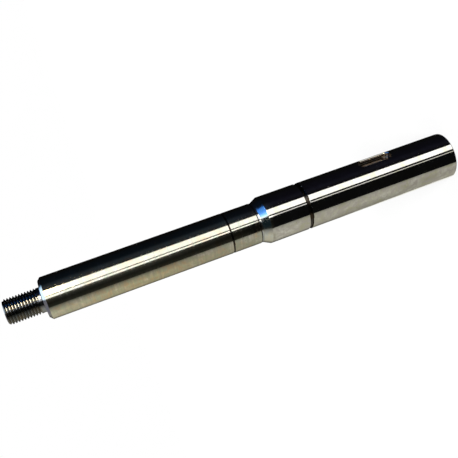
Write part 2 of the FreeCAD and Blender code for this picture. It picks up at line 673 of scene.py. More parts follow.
    def arc(self, before: Corner, corner: Corner, after: Corner) -> list[Array]:
        """Places along a rounded corner.

        The arc leaves both stretches at its tangent length, which is the rounding over the tangent
        of half the corner's angle. Its centre lies on the corner's bisector.

        Args:
            before: the corner before it.
            corner: the rounded corner.
            after: the corner after it.

        Returns:
            The places, from the end of one stretch to the start of the next.
        """
        here = np.array([corner.radius, corner.height])
        back = np.array([before.radius, before.height]) - here
        ahead = np.array([after.radius, after.height]) - here
        back /= np.hypot(*back)
        ahead /= np.hypot(*ahead)
        half = math.acos(float(np.clip(back @ ahead, -1, 1))) / 2
        bisector = (back + ahead) / np.hypot(*(back + ahead))
        centre = here + bisector * corner.rounding / math.sin(half)
        places = [here + back * corner.rounding / math.tan(half)]
        spoke = places[0] - centre
        whole = math.pi - 2 * half
        sense = math.copysign(1.0, float(-back[0] * ahead[1] + back[1] * ahead[0]))
        for share in np.linspace(0, 1, math.ceil(math.degrees(whole) / self.round_step) + 1)[1:]:
            cosine, sine = math.cos(whole * share), sense * math.sin(whole * share)
            across = cosine * spoke[0] - sine * spoke[1]
            along = sine * spoke[0] + cosine * spoke[1]
            places.append(centre + np.array([across, along]))
        return places


class NodeTree:
    """A thin helper over a node tree, which adds nodes and links them by name."""

    def __init__(self, tree: bpy.types.NodeTree) -> None:
        """Keep the tree that the nodes go into."""
        self.tree = tree

    def add(
        self, kind: str, inputs: dict[str | int, object] | None = None, **settings: object
    ) -> bpy.types.Node:
        """Add a node and fill its inputs.

        Args:
            kind: the node's type name.
            inputs: for each input's name or number, a socket to link or a value to set.
            settings: properties of the node itself.

        Returns:
            The node.
        """
        node = self.tree.nodes.new(kind)
        for name, value in settings.items():
            setattr(node, name, value)
        for name, value in (inputs or {}).items():
            if isinstance(value, bpy.types.NodeSocket):
                self.tree.links.new(value, node.inputs[name])
            else:
                node.inputs[name].default_value = value
        return node

    def maths(self, operation: str, first: object, second: object = 0.0) -> bpy.types.NodeSocket:
        """Add a Math node and give its result."""
        return self.add("ShaderNodeMath", {0: first, 1: second}, operation=operation).outputs[0]

    def blend(self, share: object, first: object, second: object) -> bpy.types.NodeSocket:
        """Add a Mix node between two colours and give its result."""
        inputs = {0: share, 6: first, 7: second}
        return self.add("ShaderNodeMix", inputs, data_type="RGBA").outputs[2]

    def noise(
        self, place: object, scale: object, detail: float, distortion: float = 0.0
    ) -> bpy.types.NodeSocket:
        """Add a Noise Texture node and give its value."""
        inputs = {"Vector": place, "Scale": scale, "Detail": detail, "Distortion": distortion}
        return self.add("ShaderNodeTexNoise", inputs).outputs[0]

    def spread(self, value: object, limits: tuple[float, float]) -> bpy.types.NodeSocket:
        """Add a Map Range node that spreads the values between two limits from 0 to 1."""
        inputs = {0: value, 1: limits[0], 2: limits[1]}
        return self.add("ShaderNodeMapRange", inputs).outputs[0]


def empty_tree(owner: bpy.types.Material | bpy.types.World) -> NodeTree:
    """Give a material or a world an empty node tree.

    Args:
        owner: the material or the world.

    Returns:
        A helper over its tree.
    """
    owner.use_nodes = True
    owner.node_tree.nodes.clear()
    return NodeTree(owner.node_tree)


def placed(name: str, data: bpy.types.ID) -> bpy.types.Object:
    """Put a mesh, a lamp or a camera into the scene, as an object of its own.

    Args:
        name: the object's name.
        data: the mesh, lamp or camera.

    Returns:
        The object.
    """
    thing = bpy.data.objects.new(name, data)
    bpy.context.scene.collection.objects.link(thing)
    return thing


def new_group(
    name: str, inputs: dict[str, float], outputs: Sequence[str]
) -> tuple[NodeTree, bpy.types.NodeTree]:
    """Make an empty shader node group with named sockets.

    Args:
        name: the group's name.
        inputs: each number that the group takes, with its default.
        outputs: each number that it gives.

    Returns:
        A helper over the group, and the group itself.
    """
    group = bpy.data.node_groups.new(name, "ShaderNodeTree")
    for label, default in inputs.items():
        socket = group.interface.new_socket(label, in_out="INPUT", socket_type="NodeSocketFloat")
        socket.default_value = default
    for label in outputs:
        group.interface.new_socket(label, in_out="OUTPUT", socket_type="NodeSocketFloat")
    return NodeTree(group), group


def lathe_lines() -> bpy.types.NodeTree:
    """Make the group of fine lines that run round the shaft, as a tool or a wheel leaves them.

    The lines are noise that changes fast along the axis and slowly round it, because Object
    coordinates are stretched by Per Metre along Z and by the Round Share of it across. Broader
    bands of the same noise say where the lines are strong.

    Returns:
        The group, with Height and Mask from 0 to 1.
    """
    band_scale = 0.17
    band_limits = (0.36, 0.64)
    inputs = {"Per Metre": 4000.0, "Round Share": 0.012}
    tree, group = new_group("Lathe lines", inputs, ("Height", "Mask"))
    given = tree.add("NodeGroupInput")
    place = tree.add("ShaderNodeTexCoord").outputs["Object"]
    across = tree.maths("MULTIPLY", given.outputs["Per Metre"], given.outputs["Round Share"])
    scale = tree.add("ShaderNodeCombineXYZ", {0: across, 1: across, 2: given.outputs["Per Metre"]})
    stretched = tree.add(
        "ShaderNodeVectorMath", {0: place, 1: scale.outputs[0]}, operation="MULTIPLY"
    ).outputs[0]
    height = tree.noise(stretched, scale=1.0, detail=3.0)
    mask = tree.spread(tree.noise(stretched, scale=band_scale, detail=2.0), band_limits)
    tree.add("NodeGroupOutput", {"Height": height, "Mask": mask})
    return group


def cloudy_tint() -> bpy.types.NodeTree:
    """Make the group of soft cloudy patches that a passivated steel surface shows.

    The mask has broad patches, which are pulled out of shape a little. The patches beside it are
    finer, and shifted so that the two don't follow each other.

    Returns:
        The group, with Mask and Patches from 0 to 1.
    """
    shift = (0.31, 0.17, 0.05)
    distortion = 0.6
    finer = 3.2
    mask_limits = (0.40, 0.60)
    patch_limits = (0.42, 0.60)
    tree, group = new_group("Cloudy tint", {"Per Metre": 80.0}, ("Mask", "Patches"))
    scale = tree.add("NodeGroupInput").outputs["Per Metre"]
    place = tree.add("ShaderNodeTexCoord").outputs["Object"]
    shifted = tree.add("ShaderNodeVectorMath", {0: place, 1: shift}, operation="ADD").outputs[0]
    broad = tree.noise(place, scale, detail=3.0, distortion=distortion)
    fine = tree.noise(shifted, tree.maths("MULTIPLY", scale, finer), detail=4.0)
    mask, patches = tree.spread(broad, mask_limits), tree.spread(fine, patch_limits)
    tree.add("NodeGroupOutput", {"Mask": mask, "Patches": patches})
    return group


@dataclass(frozen=True)
class SteelFinish:
    """One finish of the steel, as its material is made.

    Attributes:
        name: the material's name.
        colour: the steel's own colour, where it is clean.
        warm: the colour of its warm cloudy patches.
        cool: the colour of its cool patches.
        roughness: the roughness between the lines and on them.
        lines_per_metre: how fine the lathe lines are.
        line_depth: how deep the lines are, in metres.
        speckle_depth: how deep the fine speckle is, in metres.
        speckles_per_metre: how fine the speckle is.
        line_shade: how much the lines darken the colour, from 0 to 1.
        line_colour: the darkest line's colour, as a share of the steel's own.
    """

    name: str
    colour: Colour
    warm: Colour
    cool: Colour
    roughness: tuple[float, float]
    lines_per_metre: float
    line_depth: float
    speckle_depth: float = 0.0
    speckles_per_metre: float = 3000.0
    line_shade: float = 0.0
    line_colour: float = 0.7

    def material(self, lines: bpy.types.NodeTree, tint: bpy.types.NodeTree) -> bpy.types.Material:
        """Make the material.

        Args:
            lines: the group of lathe lines.
            tint: the group of cloudy patches.

        Returns:
            The material.
        """
        material = bpy.data.materials.new(self.name)
        tree = empty_tree(material)
        cloud = tree.add("ShaderNodeGroup", node_tree=tint)
        ring = tree.add("ShaderNodeGroup", {"Per Metre": self.lines_per_metre}, node_tree=lines)
        warmed = tree.blend(cloud.outputs["Mask"], (*self.colour, 1.0), (*self.warm, 1.0))
        cooled = tree.blend(cloud.outputs["Patches"], warmed, (*self.cool, 1.0))
        shade = tree.add("ShaderNodeMapRange", {0: ring.outputs["Mask"], 4: self.line_shade})
        line_colour = (*(channel * self.line_colour for channel in self.colour), 1.0)
        lined = tree.blend(shade.outputs[0], cooled, line_colour)
        low, high = self.roughness
        rough = tree.add("ShaderNodeMapRange", {0: ring.outputs["Mask"], 3: low, 4: high})
        bump = tree.add(
            "ShaderNodeBump",
            {"Height": ring.outputs["Height"], "Distance": self.line_depth, "Strength": 1.0},
        )
        if self.speckle_depth:
            place = tree.add("ShaderNodeTexCoord").outputs["Object"]
            bump = tree.add(
                "ShaderNodeBump",
                {
                    "Height": tree.noise(place, self.speckles_per_metre, detail=2.0),
                    "Distance": self.speckle_depth,
                    "Strength": 1.0,
                    "Normal": bump.outputs[0],
                },
            )
        shader = tree.add(
            "ShaderNodeBsdfPrincipled",
            {
                "Base Color": lined,
                "Metallic": 1.0,
                "Roughness": rough.outputs[0],
                "Normal": bump.outputs[0],
            },
        )
        tree.add("ShaderNodeOutputMaterial", {"Surface": shader.outputs[0]})
        return material


FINISHES: dict[Finish, SteelFinish] = {
    Finish.POLISHED: SteelFinish(
        "polished_steel", (0.79, 0.78, 0.74), (0.64, 0.63, 0.50), (0.66, 0.63, 0.60),
        roughness=(0.05, 0.09), lines_per_metre=5000.0, line_depth=1.0e-8, line_shade=0.1,
    ),
    Finish.GROUND: SteelFinish(
        "ground_steel", (0.79, 0.77, 0.70), (0.70, 0.58, 0.42), (0.60, 0.64, 0.52),
        roughness=(0.05, 0.15), lines_per_metre=3000.0, line_depth=1.0e-7, line_shade=0.65,
    ),
    Finish.TURNED: SteelFinish(
        "turned_steel", (0.72, 0.72, 0.70), (0.68, 0.66, 0.60), (0.66, 0.70, 0.74),
        roughness=(0.10, 0.17), lines_per_metre=6000.0, line_depth=2.0e-7,
    ),
    # The thread's steel is dark partly in its own tone and partly as painted shade between the flanks.
    Finish.THREADED: SteelFinish(
        "threaded_steel", (0.31, 0.30, 0.285), (0.34, 0.31, 0.26), (0.26, 0.27, 0.28),
        roughness=(0.12, 0.18), lines_per_metre=5000.0, line_depth=2.0e-7,
        speckle_depth=2.5e-6, speckles_per_metre=2500.0,
    ),
    Finish.MILLED: SteelFinish(
        "milled_steel", (0.28, 0.22, 0.17), (0.22, 0.16, 0.11), (0.26, 0.23, 0.21),
        roughness=(0.10, 0.16), lines_per_metre=3000.0, line_depth=3.0e-7,
        speckle_depth=4.0e-7, speckles_per_metre=1500.0,
    ),
    # Painted shade: dark brown steel that stands for the shade in the shaft's hollows.
    Finish.PAINTED_SHADE: SteelFinish(
        "painted_shade_steel", (0.065, 0.048, 0.034), (0.05, 0.034, 0.02), (0.06, 0.055, 0.05),
        roughness=(0.15, 0.25), lines_per_metre=5000.0, line_depth=2.0e-7,
    ),
    # Painted light: a lighter copy of the milled steel, where light falls in the keyway.
    Finish.PAINTED_LIGHT: SteelFinish(
        "painted_light_steel", (0.60, 0.54, 0.49), (0.56, 0.48, 0.40), (0.58, 0.54, 0.52),
        roughness=(0.38, 0.48), lines_per_metre=3000.0, line_depth=3.0e-7,
        speckle_depth=4.0e-7, speckles_per_metre=1500.0,
    ),
    Finish.STUB: SteelFinish(
        "stub_steel", (0.32, 0.33, 0.37), (0.31, 0.31, 0.33), (0.29, 0.32, 0.38),
        roughness=(0.10, 0.17), lines_per_metre=6000.0, line_depth=2.0e-7,
    ),
    Finish.FACED: SteelFinish(
        "faced_steel", (0.72, 0.72, 0.70), (0.68, 0.66, 0.60), (0.66, 0.69, 0.72),
        roughness=(0.16, 0.26), lines_per_metre=6000.0, line_depth=2.0e-7,
    ),
}


@dataclass
class MotorShaft:
    """The one-piece shaft, built from its turned outline, its keyway and its thread.

    Attributes:
        outline: the turned outline.
        keyway: the keyway in the thick journal.
        thread: the thread on the stub.
        columns: columns of faces round the shaft.
        sharp_angle: angle between faces from which their edge stays sharp, in degrees.
        weld_distance: points closer than this are one point, in metres.
        row_slack: how far a row may be off the patch's ends and still count, in millimetres.
    """

    outline: ShaftOutline
    keyway: Keyway = field(default_factory=Keyway)
    thread: Thread = field(default_factory=Thread)
    columns: int = 240
    sharp_angle: float = 15.0
    weld_distance: float = 2.0e-6
    row_slack: float = 2.0e-6

    def surfaces(self) -> list[Surface]:
        """Work out every surface of the shaft.

        The turned bar leaves out the faces where the keyway's patch of the journal lies.

        Returns:
            The surfaces, whose edges meet point for point.
        """
        angles = np.arange(self.columns) * FULL_TURN / self.columns
        bar = self.outline.turn(self.outline.foot_to_neck(self.thread, self.keyway), angles)
        half = self.keyway.end_steps // 2
        half_angle = half * FULL_TURN / self.columns
        heights = bar.points[:-1, 0, 2] / MM
        tops = bar.points[1:, 0, 2] / MM
        low, high = self.keyway.patch_heights()[[0, -1]]
        flat = bar.finishes == Finish.POLISHED
        beside = flat & (heights > low - self.row_slack) & (tops < high + self.row_slack)
        column = np.arange(self.columns)
        in_patch = (column < half) | (column >= self.columns - half)
        bar.kept = ~(beside[:, None] & in_patch[None, :])
        neck_end = float(bar.points[-1, 0, 2]) / MM
        closed = np.append(angles, FULL_TURN)
        radius = self.outline.thick_radius
        return [
            bar,
            self.keyway.journal_patch(radius, half_angle),
            self.keyway.pocket(radius),
            self.thread.surface(
                closed, neck_end, self.outline.total_length, self.outline.neck_radius
            ),
            self.outline.turn(self.outline.free_end(self.thread), angles),
        ]

    def build(self) -> bpy.types.Object:
        """Join the surfaces into one closed mesh with its materials.

        Returns:
            The shaft's object.
        """
        points: list[Array] = []
        corners: list[NDArray[np.int64]] = []
        finishes: list[NDArray[np.int32]] = []
        count = 0
        for surface in self.surfaces():
            quads, kinds = surface.faces()
            points.append(surface.points.reshape(-1, 3))
            corners.append(quads + count)
            finishes.append(kinds)
            count += len(points[-1])
        mesh = welded_mesh(
            "shaft", np.concatenate(points), np.concatenate(corners),
            np.concatenate(finishes), self.weld_distance,
        )
        lines, tint = lathe_lines(), cloudy_tint()
        for finish in Finish:
            mesh.materials.append(FINISHES[finish].material(lines, tint))
        mesh.shade_smooth()
        mesh.set_sharp_from_angle(angle=math.radians(self.sharp_angle))
        piece = placed("shaft", mesh)
        LOG.info("shaft: %d points, %d faces", len(mesh.vertices), len(mesh.polygons))
        return piece


def welded_mesh(
    name: str, points: Array, quads: NDArray[np.int64], kinds: NDArray[np.int32], distance: float
) -> bpy.types.Mesh:
    """Make a mesh of quads whose close points are one point.

    A point's key is its place in whole steps, each a few times the distance, so two points of one
    place share a key. The steps are shifted by an odd share, so that no round size of the part
    lies where one step ends. A face that keeps fewer than three separate corners is dropped.

    Args:
        name: the mesh's name.
        points: places in metres.
        quads: four corners for each face.
        kinds: the material slot of each face.
        distance: how close two points are to be one, in metres.

    Returns:
        The mesh.
    """
    step, shift = 4 * distance, 0.37
    keys = np.floor(points / step + shift).astype(np.int64)
    _, first, number = np.unique(keys, axis=0, return_index=True, return_inverse=True)
    faces = number.ravel()[quads]
    ahead = np.roll(faces, -1, axis=1)
    separate = faces != ahead
    sizes = separate.sum(axis=1)
    kept = sizes >= 3
    mesh = bpy.data.meshes.new(name)
    wanted = separate[kept]
    corner_list = faces[kept][wanted]
    totals = sizes[kept]
    starts = np.concatenate([[0], np.cumsum(totals)[:-1]])
    mesh.vertices.add(len(first))
    mesh.vertices.foreach_set("co", points[first].ravel().astype(np.float32))
    mesh.loops.add(len(corner_list))
    mesh.loops.foreach_set("vertex_index", corner_list.astype(np.int32))
    mesh.polygons.add(len(totals))
    mesh.polygons.foreach_set("loop_start", starts.astype(np.int32))
    mesh.polygons.foreach_set("loop_total", totals.astype(np.int32))
    mesh.polygons.foreach_set("material_index", kinds[kept])
    mesh.update(calc_edges=True)
    mesh.validate()
    return mesh


@dataclass(frozen=True)
class PhotoCamera:
    """The camera's place about the shaft, in metres and degrees.

    Attributes:
        azimuth: direction from the axis to the camera, from the keyway's direction.
        distance: distance of the lens from the axis.
        height: height of the lens over the thick end's face.
        pan: how far the camera looks past the axis, to its left.
        tilt: how far it looks up.
        roll: how far the picture's top leans over to the right.
        lens: focal length in millimetres, on a sensor 36 millimetres wide.
        nearest: the closest thing that it sees, in metres.
    """

    azimuth: float = -58.5
    distance: float = 0.48717
    height: float = 0.28297
    pan: float = -0.280
    tilt: float = -12.160
    roll: float = 109.711
    lens: float = 54.781
    nearest: float = 0.01

    def bearing(self) -> Array:
        """Level direction from the axis to the camera."""
        turn = math.radians(self.azimuth)
        return np.array([math.cos(turn), math.sin(turn), 0.0])

    def axes(self) -> tuple[Array, Array, Array]:
        """Directions of the picture's right and top and of the way back from the lens.

        The level look goes to the axis. Pan turns it about the vertical, tilt raises it, and roll
        turns the picture about it.

        Returns:
            The three unit vectors.
        """
        level = -self.bearing()
        left = np.cross(UP, level)
        pan, tilt, roll = (math.radians(a) for a in (self.pan, self.tilt, self.roll))
        ahead = level * math.cos(pan) + left * math.sin(pan)
        look = ahead * math.cos(tilt) + UP * math.sin(tilt)
        right = np.cross(look, UP)
        right /= np.linalg.norm(right)
        top = np.cross(right, look)
        picture_top = top * math.cos(roll) + right * math.sin(roll)
        picture_right = np.cross(look, picture_top)
        return picture_right, picture_top, -look

    def build(self) -> None:
        """Make the camera and give it to the scene."""
        data = bpy.data.cameras.new("photo_camera")
        data.lens = self.lens
        data.clip_start = self.nearest
        camera = placed("photo_camera", data)
        matrix = np.eye(4)
        matrix[:3, :3] = np.column_stack(self.axes())
        matrix[:3, 3] = self.bearing() * self.distance + UP * self.height
        camera.matrix_world = Matrix(matrix.tolist())
        bpy.context.scene.camera = camera


@dataclass(frozen=True)
class Line:
    """A line over a card of the studio.

    Attributes:
        places: a few pairs of elevation and azimuth in degrees, with straight lines between them.
            Azimuth runs from the camera's direction, towards the keyway.
        glow: pairs of elevation and colour, which blend from each to the next.
    """

    places: tuple[tuple[float, float], ...]
    glow: Stops

    def at(self, rise: Array) -> tuple[Array, Array]:
        """Read the line at some elevations, by linear interpolation.

        Args:
            rise: the elevations, in degrees.

        Returns:
            Azimuth and colour at each of them.
        """
        places = np.array(self.places)
        stops = np.array([stop for stop, _ in self.glow])
        colours = np.array([colour for _, colour in self.glow])
        azimuth = np.interp(rise, places[:, 0], places[:, 1])
        tint = np.stack([np.interp(rise, stops, colours[:, k]) for k in range(3)], axis=-1)
        return azimuth, tint


@dataclass(frozen=True)
class Card:
    """A glowing card of the studio, which only metal sees.

    The card's lines run from its lowest to its highest elevation, the first along one side and the
    last along the other, and its glow blends from each line to the next.

    Attributes:
        name: the card's name.
        lines: the card's lines, of which all but the first and last only shape the glow.
        reach: distance of the card from the shaft, in metres.
        lift: how high over the floor it stops, in metres.
    """

    name: str
    lines: tuple[Line, ...]
    reach: float = 3.0
    lift: float = 0.0008

    def grid(self, steps_up: int = 48, steps_round: int = 12) -> tuple[Array, Array, Array]:
        """Spread the card over a grid.

        Args:
            steps_up: faces from the lowest to the highest elevation.
            steps_round: faces from each line to the next.

        Returns:
            Elevation, azimuth and colour of each point.
        """
        rise = np.linspace(self.lines[0].places[0][0], self.lines[0].places[-1][0], steps_up + 1)
        rows = [line.at(rise) for line in self.lines]
        azimuths = np.stack([row[0] for row in rows])
        colours = np.stack([row[1] for row in rows])
        lines = np.arange(len(rows))
        spots = np.linspace(0, len(rows) - 1, (len(rows) - 1) * steps_round + 1)
        low = np.minimum(spots.astype(int), lines[-1] - 1)
        share = (spots - low)[:, None]
        azimuth = azimuths[low] * (1 - share) + azimuths[low + 1] * share
        colour = colours[low] * (1 - share[..., None]) + colours[low + 1] * share[..., None]
        rises = np.broadcast_to(rise[:, None], azimuth.T.shape)
        return rises, azimuth.T, colour.transpose(1, 0, 2)


BAND_LIGHT = (1.7, 1.7, 1.66)
THREAD_LIGHT = (17.0, 14.0, 8.0)
WIDE_GLOW: Stops = (
    (3.7, BAND_LIGHT), (4.4, THREAD_LIGHT), (8, THREAD_LIGHT), (10, BAND_LIGHT),
)
NARROW_GLOW: Stops = (
    (-30, (0.95, 0.95, 0.90)), (-15.5, (1.2, 1.2, 1.2)), (-14, (2.0, 2.0, 2.0)),
    (-12, (2.0, 2.0, 1.96)), (-8.5, (1.78, 1.78, 1.74)), (2, (1.62, 1.62, 1.58)),
)


def even(red: float, green: float, blue: float) -> Stops:
    """One colour all along a line."""
    return ((0.0, (red, green, blue)),)


CARDS: tuple[Card, ...] = (
    # The broad bright band. Only the thread mirrors its stronger part.
    Card("wide_light", (
        Line(
            (
                (-33, 15.8), (-26, 15.0), (-22, 14.2), (-16, 13.4), (-13, 13.0), (-5, 11.8),
                (3, 11.0), (88, 11.0),
            ),
            WIDE_GLOW,
        ),
        Line(((-33, 39.4), (-16, 39.8), (-13, 39.2), (3, 39.6), (88, 39.6)), WIDE_GLOW),
    )),
    # The thin bright line beside it.
    Card("narrow_light", (
        Line(
            (
                (-33, 2.8), (-24, 2.6), (-16, 2.4), (-13, 0.2), (-7, -1.0), (-5, -2.5),
                (3, -4.8), (60, -4.8),
            ),
            NARROW_GLOW,
        ),
        Line(
            ((-33, 5.7), (-24, 5.8), (-16, 5.8), (-13, 6.7), (3, 7.0), (60, 7.0)), NARROW_GLOW
        ),
    )),
    # The pale table, which the shaft's lower side mirrors.
    Card("table_board", (
        Line(
            ((-33, -140.0), (-24, -152.0), (-14, -168.0), (44, -168.0)),
            ((-24, (0.30, 0.29, 0.25)), (-17, (0.03, 0.03, 0.025))),
        ),
        Line(
            ((-33, -125.0), (-14, -130.0), (44, -130.0)),
            (
                (-30, (0.44, 0.43, 0.37)), (-26.5, (0.38, 0.38, 0.32)), (-24.5, (0.31, 0.31, 0.26)),
                (-21, (0.35, 0.34, 0.29)), (-19, (0.46, 0.45, 0.39)), (-15, (0.50, 0.49, 0.42)),
                (-14, (0.36, 0.35, 0.28)), (-8.5, (0.42, 0.39, 0.29)), (-5, (0.46, 0.42, 0.28)),
                (2, (0.52, 0.49, 0.37)),
            ),
        ),
        Line(
            ((-33, -90.0), (44, -95.0)),
            (
                (-30, (0.38, 0.37, 0.32)), (-26.5, (0.38, 0.37, 0.32)), (-25, (0.49, 0.48, 0.42)),
                (-18, (0.50, 0.49, 0.43)), (-15, (0.56, 0.55, 0.48)), (-14, (0.38, 0.37, 0.30)),
                (-8.5, (0.46, 0.42, 0.31)), (-5, (0.56, 0.50, 0.34)), (2, (0.60, 0.57, 0.44)),
            ),
        ),
        Line(
            ((-33, -66.0), (44, -68.0)),
            (
                (-14, (0.46, 0.45, 0.40)), (-8.5, (0.34, 0.31, 0.25)), (-5, (0.38, 0.35, 0.26)),
                (2, (0.34, 0.33, 0.28)),
            ),
        ),
        Line(
            ((-33, -53.0), (44, -52.0)),
            ((-14, (0.32, 0.32, 0.28)), (-6, (0.17, 0.16, 0.13)), (2, (0.12, 0.12, 0.10))),
        ),
    )),
    # White paper on the table, with a torn edge.
    Card("white_paper", (
        Line(((-33, -185.0), (-16, -185.0)), even(1.0, 1.0, 0.97)),
        Line(
            (
                (-33, -137.0), (-29.5, -142.0), (-28.6, -138.0), (-27.8, -146.0), (-26.6, -141.0),
                (-25.6, -150.0), (-24.6, -145.0), (-23.6, -155.0), (-22.4, -149.0), (-21.0, -160.0),
                (-19.0, -158.0), (-16, -172.0),
            ),
            ((-29, (1.0, 1.0, 0.96)), (-24, (0.85, 0.85, 0.80)), (-19, (0.30, 0.30, 0.28))),
        ),
    )),
    # Faint light between the table and the thin line.
    Card("haze", (
        Line(((-13.5, -54.0), (26, -54.0)), even(0.026, 0.026, 0.020)),
        Line(((-13.5, -30.0), (26, -30.0)), ((-13, (0.008, 0.008, 0.006)), (-5, (0.012, 0.012, 0.010)))),
        Line(((-13.5, -16.0), (26, -16.0)), ((-13, (0.006, 0.006, 0.005)), (-5, (0.030, 0.030, 0.027)))),
        Line(((-13.5, -5.0), (26, -5.0)), ((-9, (0.040, 0.040, 0.036)), (-3, (0.13, 0.125, 0.11)))),
    ), reach=3.1),
    # The dark wall in the lower part of the taper.
    Card("teal_wall", (
        Line(((26, -56.0), (46, -62.0)), even(0.03, 0.035, 0.032)),
        Line(((26, -40.0), (46, -40.0)), even(0.006, 0.014, 0.016)),
        Line(((26, 13.0), (46, 13.0)), even(0.006, 0.014, 0.020)),
    ), reach=2.9),
    # The window in the upper part of the taper, from white to blue.
    Card("window", (
        Line(((22, 12.0), (46, 12.0)), even(1.7, 1.8, 1.8)),
        Line(((22, 24.0), (46, 24.0)), even(0.60, 1.25, 1.8)),
        Line(((22, 40.0), (46, 40.0)), even(0.12, 0.48, 1.3)),
        Line(((22, 82.0), (46, 82.0)), even(0.05, 0.26, 0.95)),
        Line(((22, 92.0), (46, 92.0)), even(0.01, 0.03, 0.10)),
    ), reach=2.8),
    # The sky in the upper part of the shoulder's bevel.
    Card("sky", (
        Line(
            ((46, 125.0), (66, 95.0), (89, 90.0)),
            ((49, (0.01, 0.02, 0.05)), (56, (0.6, 0.95, 1.35)), (66, (1.2, 1.5, 1.7))),
        ),
        Line(
            ((46, 150.0), (66, 165.0), (89, 230.0)),
            ((49, (0.01, 0.02, 0.05)), (56, (0.6, 0.95, 1.35)), (66, (1.4, 1.6, 1.7))),
        ),
    )),
    # The dull sky in the lower part of the shoulder's bevel.
    Card("grey_sky", (
        Line(((20, -168.0), (66, -165.0), (88, -130.0)), even(0.16, 0.16, 0.19)),
        Line(((20, -158.0), (66, -100.0), (88, -80.0)), even(0.20, 0.19, 0.22)),
    )),
    # A weak lamp high on the far side.
    Card("high_lamp", (
        Line(((22, 114.0), (30, 114.0)), even(0.5, 0.55, 0.65)),
        Line(((22, 120.0), (30, 120.0)), even(0.5, 0.55, 0.65)),
    ), reach=2.9),
    # The dark bluish wall over the broad band.
    Card("blue_wall", (
        Line(
            ((-33, 42.0), (20, 42.0)),
            (
                (-16, (0.006, 0.006, 0.007)), (-12, (0.026, 0.031, 0.038)),
                (-3, (0.028, 0.032, 0.038)), (2, (0.055, 0.055, 0.058)),
            ),
        ),
        Line(
            ((-33, 62.0), (20, 62.0)), ((-16, (0.009, 0.009, 0.016)), (-12, (0.022, 0.030, 0.044)))
        ),
        Line(
            ((-33, 78.0), (20, 78.0)), ((-16, (0.005, 0.005, 0.009)), (-12, (0.004, 0.007, 0.012)))
        ),
        Line(
            ((-33, 125.0), (20, 125.0)), ((-16, (0.004, 0.004, 0.005)), (-12, (0.003, 0.004, 0.006)))
        ),
    )),
)


